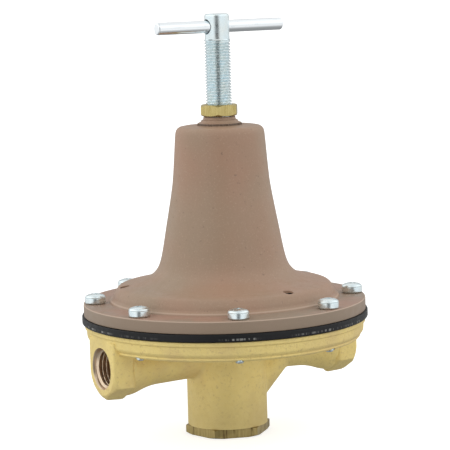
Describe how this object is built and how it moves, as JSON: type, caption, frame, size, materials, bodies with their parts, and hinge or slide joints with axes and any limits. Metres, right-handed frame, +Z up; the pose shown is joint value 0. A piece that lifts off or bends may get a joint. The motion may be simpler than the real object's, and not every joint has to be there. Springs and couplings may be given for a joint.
{
  "type": "water pressure regulator",
  "caption": "Brass-bodied diaphragm water pressure regulator with a tapered spring housing, T-handle adjusting screw and opposed threaded side ports",
  "frame": {"origin": "Centre of the flat underside of the hexagonal bottom plug, on the screw's axis", "axes": "+Z up the adjusting screw, +X out of the inlet port, -X out of the outlet port"},
  "size_m": [0.129, 0.129, 0.1888],
  "materials": {
    "cast_brass": "cast, lightly machined satin",
    "bronze_coat": "matte bronze-brown coating",
    "black_rubber": "matte fabric-reinforced rubber",
    "zinc_plate": "bright zinc plate",
    "bright_steel": "polished steel",
    "yellow_brass": "machined yellow brass",
    "dark_brass": "machined brass with dark staining",
    "spring_steel": "plain drawn steel",
    "gasket_fibre": "pressed fibre"
  },
  "bodies": {
    "housing": {"body": "cast_brass", "bell_housing": "bronze_coat", "diaphragm": "black_rubber", "seat": "spring_steel", "seat_gasket": "gasket_fibre", "bottom_plug": "dark_brass", "plug_gasket": "black_rubber", "adjusting_spring": "spring_steel", "bottom_spring": "spring_steel", "cover_screw_1": "zinc_plate", "cover_screw_2": "zinc_plate", "cover_screw_3": "zinc_plate", "cover_screw_4": "zinc_plate", "cover_screw_5": "zinc_plate", "cover_screw_6": "zinc_plate", "cover_screw_7": "zinc_plate", "cover_screw_8": "zinc_plate"},
    "stem": {"valve_stem": "spring_steel", "diaphragm_plate": "zinc_plate", "diaphragm_washer": "yellow_brass", "diaphragm_nut": "yellow_brass", "disc_holder": "yellow_brass", "valve_disc": "black_rubber", "disc_nut": "yellow_brass"},
    "button": {"spring_button": "zinc_plate"},
    "screw": {"adjusting_screw": "zinc_plate", "t_bar": "bright_steel"},
    "nut": {"lock_nut": "yellow_brass"}
  },
  "joints": [
    {"name": "button_slide", "type": "slide", "parent": "housing", "child": "button", "axis": [0, 0, 1], "range_m": [-0.025, 0.0013], "deforming": ["adjusting_spring"]},
    {"name": "screw_turn", "type": "hinge", "parent": "button", "child": "screw", "pos_m": [0, 0, 0.16], "axis": [0, 0, 1], "range_deg": [-7080, 360]},
    {"name": "lock_nut_turn", "type": "hinge", "parent": "housing", "child": "nut", "pos_m": [0, 0, 0.146], "axis": [0, 0, 1], "range_deg": [0, 720]},
    {"name": "stem_slide", "type": "slide", "parent": "housing", "child": "stem", "axis": [0, 0, 1], "range_m": [-0.0025, 0], "stiffness_N_per_m": 1000, "springref_m": 0.004, "deforming": ["bottom_spring", "diaphragm"]}
  ],
  "couplings": [
    {"joint": "button_slide", "follows": "screw_turn", "m_per_rad": 0.00020213}
  ]
}
